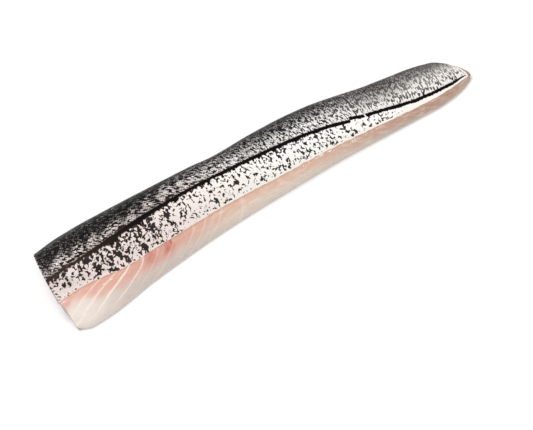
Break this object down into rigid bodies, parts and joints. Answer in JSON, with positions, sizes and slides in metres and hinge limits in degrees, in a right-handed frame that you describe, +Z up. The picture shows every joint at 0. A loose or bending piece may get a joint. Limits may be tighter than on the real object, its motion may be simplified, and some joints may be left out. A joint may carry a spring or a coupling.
{
  "type": "haddock fillet",
  "caption": "Raw skin-on fish fillet lying skin side up: a long tapering slab of white flesh under a thin silver skin with a dark back and a black lateral line.",
  "frame": {"origin": "on the surface that the fillet lies on, under the middle of its box", "axes": "+X from the head end to the tail, +Y towards the back of the fish, +Z up to the skin side"},
  "size_m": [0.34, 0.074, 0.0203],
  "materials": {
    "flesh": "raw moist fish flesh, white with a salmon-pink band under the skin, softly translucent",
    "skin": "wet fish skin, charcoal on the back and silver white with black flecks below the black lateral line"
  },
  "bodies": {
    "root": {"flesh": "flesh", "skin": "skin"}
  },
  "joints": []
}
